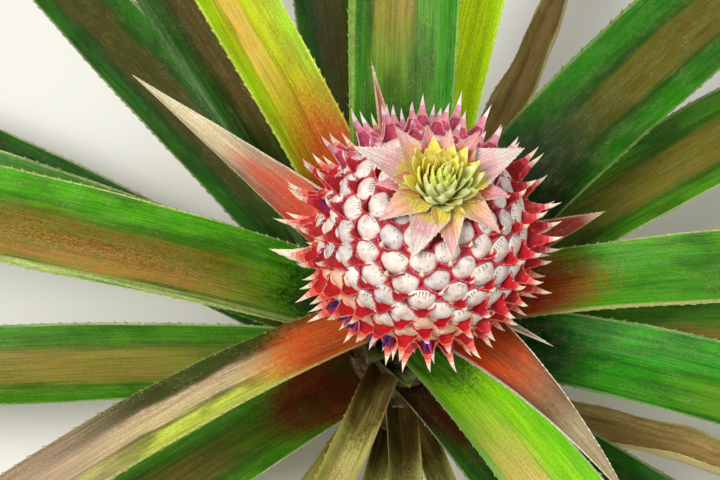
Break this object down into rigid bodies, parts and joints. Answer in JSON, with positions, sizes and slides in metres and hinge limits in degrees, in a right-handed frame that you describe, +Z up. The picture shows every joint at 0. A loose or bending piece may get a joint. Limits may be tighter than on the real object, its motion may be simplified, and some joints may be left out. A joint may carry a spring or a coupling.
{
  "type": "pineapple plant",
  "caption": "Ground-standing pineapple plant: short stem, spreading rosette of long channelled leaves, and a young spiny fruit with a small crown on a stalk.",
  "frame": {"origin": "middle of the stem's flat foot, at ground level", "axes": "+Z up along the stem; +X towards the side that the fruit leans to; -Y towards the dead leaves in the gap of the rosette"},
  "size_m": [1.2438, 1.1665, 0.3704],
  "materials": {
    "stem": "rough, fibrous, ringed with leaf scars",
    "stalk": "fleshy, matt",
    "fruit": "fleshy, slightly glossy, pale berries over red bracts",
    "crown": "soft leaflets, matt",
    "leaflet": "smooth, red at the foot, silvery at the tip",
    "leaf": "smooth, satin, striped, toothed along the margins",
    "dry_leaf": "dead, dry, papery"
  },
  "bodies": {
    "root": {"stem": "stem", "fruit_stalk": "stalk", "fruit": "fruit", "crown": "crown", "stalk_leaflet_01": "leaflet", "stalk_leaflet_02": "leaflet", "stalk_leaflet_03": "leaflet", "stalk_leaflet_04": "leaflet", "stalk_leaflet_05": "leaflet", "stalk_leaflet_06": "leaflet", "leaf_01": "leaf", "leaf_02": "leaf", "leaf_03": "leaf", "leaf_04": "leaf", "leaf_05": "leaf", "leaf_06": "leaf", "leaf_07": "leaf", "leaf_08": "leaf", "leaf_09": "leaf", "leaf_10": "leaf", "leaf_12": "leaf", "leaf_13": "leaf", "leaf_14": "leaf", "leaf_15": "leaf", "leaf_16": "leaf", "leaf_17": "leaf", "leaf_18": "leaf", "leaf_20": "leaf", "leaf_21": "leaf", "leaf_22": "leaf", "leaf_23": "leaf", "leaf_25": "leaf", "leaf_26": "leaf", "leaf_11": "dry_leaf", "leaf_19": "dry_leaf", "leaf_24": "dry_leaf", "leaf_27": "dry_leaf", "leaf_28": "dry_leaf", "leaf_29": "dry_leaf", "leaf_30": "dry_leaf", "leaf_31": "dry_leaf", "leaf_32": "dry_leaf"}
  },
  "joints": []
}
